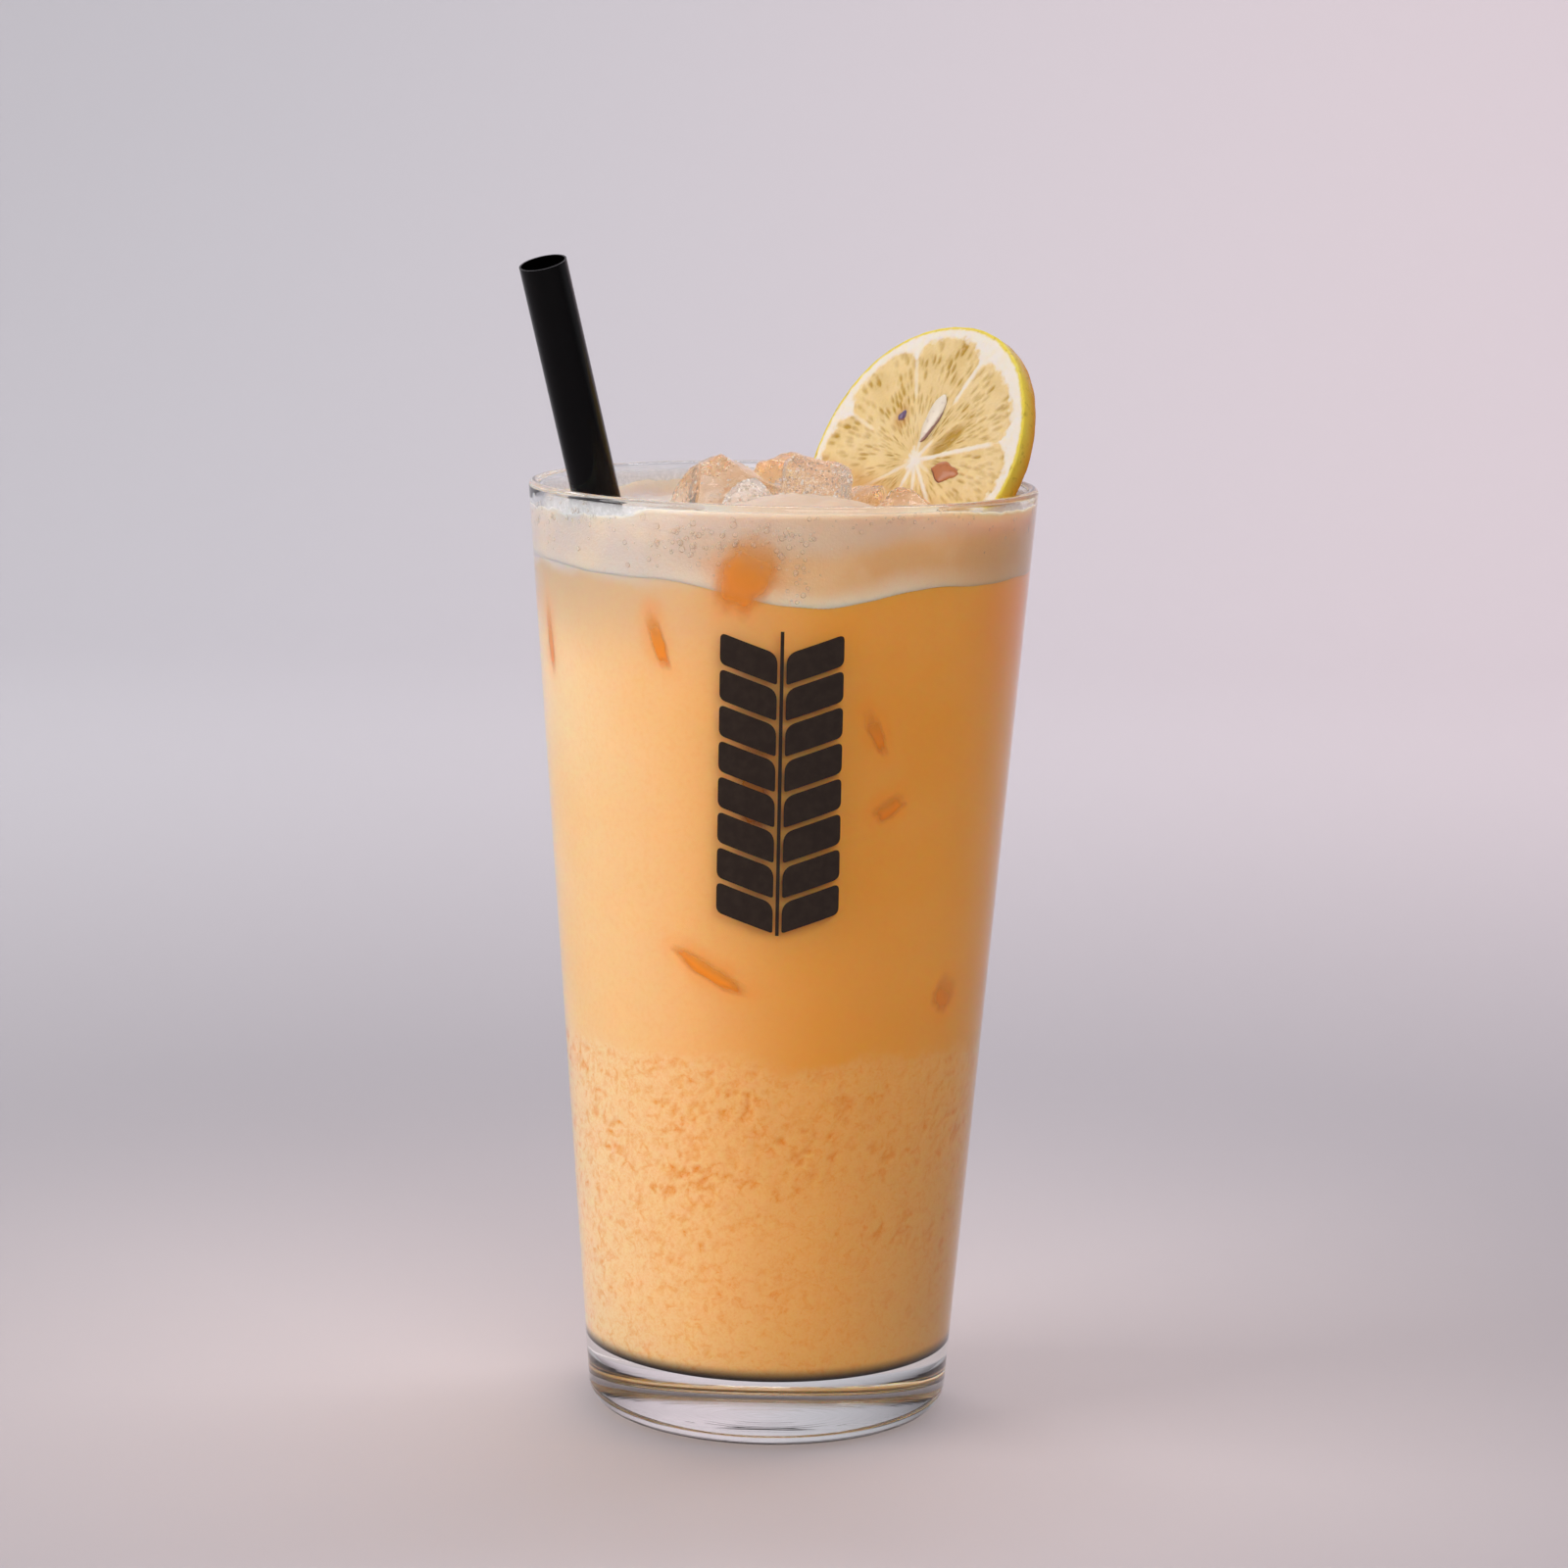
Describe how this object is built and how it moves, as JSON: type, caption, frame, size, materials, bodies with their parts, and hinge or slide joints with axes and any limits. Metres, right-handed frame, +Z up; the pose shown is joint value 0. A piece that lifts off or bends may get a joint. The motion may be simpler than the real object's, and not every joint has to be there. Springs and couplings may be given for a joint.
{
  "type": "glass of lemonade",
  "caption": "Tall conical glass of cloudy lemonade with a pulpy base layer, a foam head, ice at the rim, a wide straw and a lemon slice.",
  "frame": {"origin": "middle of the glass's foot, on the surface that it stands on", "axes": "+Z up along the glass's axis; -Y towards the front, the side that the print is on; +X to the right of that front, the side that the lemon slice stands on"},
  "size_m": [0.0881, 0.0878, 0.2029],
  "materials": {
    "clear_glass": "clear, polished",
    "pulp": "wet, mottled",
    "cloudy_drink": "cloudy liquid",
    "foam": "fine froth",
    "black_plastic": "smooth, glossy",
    "lemon": "wet cut fruit",
    "ice": "melting, bubbly"
  },
  "bodies": {
    "root": {"glass": "clear_glass", "settled_pulp": "pulp", "lemonade": "cloudy_drink", "foam_head": "foam", "straw": "black_plastic", "lemon_slice": "lemon", "ice_left": "ice", "ice_front": "ice", "ice_middle": "ice", "ice_back": "ice", "ice_right": "ice", "ice_edge": "ice"}
  },
  "joints": []
}
